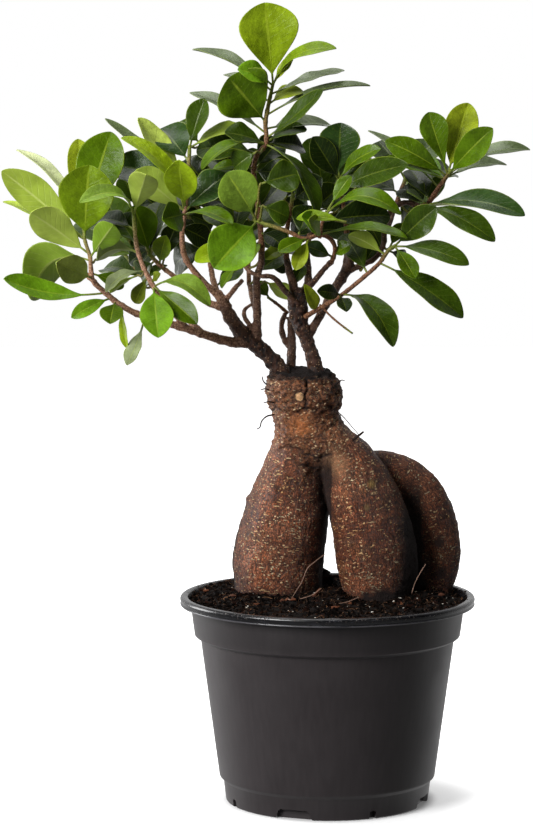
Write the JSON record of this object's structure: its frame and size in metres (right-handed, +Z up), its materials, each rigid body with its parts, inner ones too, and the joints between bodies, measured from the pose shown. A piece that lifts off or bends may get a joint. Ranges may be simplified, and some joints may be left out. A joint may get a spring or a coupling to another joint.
{
  "type": "potted ginseng ficus bonsai",
  "caption": "Ginseng ficus bonsai with swollen aerial roots and a spreading leafy crown, growing in soil in a round tapered plastic nursery pot.",
  "frame": {"origin": "centre of the pot's flat base, on the surface it stands on", "axes": "+Z up the plant, +X to the right of someone in front of it, -Y towards them"},
  "size_m": [0.2676, 0.1591, 0.4042],
  "materials": {
    "pot": "matt charcoal black polypropylene, slightly dusty at the rim",
    "soil": "loose damp peat with fibres and white perlite",
    "rootstock": "red-brown bark with pale lenticels",
    "branch_left": "rough dark bark",
    "branch_centre": "rough dark bark",
    "branch_right": "rough dark bark",
    "spray_crown": "smooth waxy leaf, glossy above and paler below",
    "spray_upper_left": "smooth waxy leaf, glossy above and paler below",
    "spray_left_twig": "smooth waxy leaf, glossy above and paler below",
    "spray_left_low": "smooth waxy leaf, glossy above and paler below",
    "spray_left_inner": "smooth waxy leaf, glossy above and paler below",
    "spray_middle": "smooth waxy leaf, glossy above and paler below",
    "spray_cross": "smooth waxy leaf, glossy above and paler below",
    "spray_centre": "smooth waxy leaf, glossy above and paler below",
    "spray_centre_low": "smooth waxy leaf, glossy above and paler below",
    "spray_upper_middle": "smooth waxy leaf, glossy above and paler below",
    "spray_right_low": "smooth waxy leaf, glossy above and paler below",
    "spray_right_top": "smooth waxy leaf, glossy above and paler below",
    "spray_rear_left": "smooth waxy leaf, glossy above and paler below",
    "spray_rear_middle": "smooth waxy leaf, glossy above and paler below",
    "spray_rear_right": "smooth waxy leaf, glossy above and paler below",
    "spray_rear_far_left": "smooth waxy leaf, glossy above and paler below",
    "spray_rear_far_right": "smooth waxy leaf, glossy above and paler below"
  },
  "bodies": {
    "root": {"pot": "pot", "soil": "soil", "rootstock": "rootstock", "branch_left": "branch_left", "branch_centre": "branch_centre", "branch_right": "branch_right", "spray_crown": "spray_crown", "spray_upper_left": "spray_upper_left", "spray_left_twig": "spray_left_twig", "spray_left_low": "spray_left_low", "spray_left_inner": "spray_left_inner", "spray_middle": "spray_middle", "spray_cross": "spray_cross", "spray_centre": "spray_centre", "spray_centre_low": "spray_centre_low", "spray_upper_middle": "spray_upper_middle", "spray_right_low": "spray_right_low", "spray_right_top": "spray_right_top", "spray_rear_left": "spray_rear_left", "spray_rear_middle": "spray_rear_middle", "spray_rear_right": "spray_rear_right", "spray_rear_far_left": "spray_rear_far_left", "spray_rear_far_right": "spray_rear_far_right"}
  },
  "joints": []
}
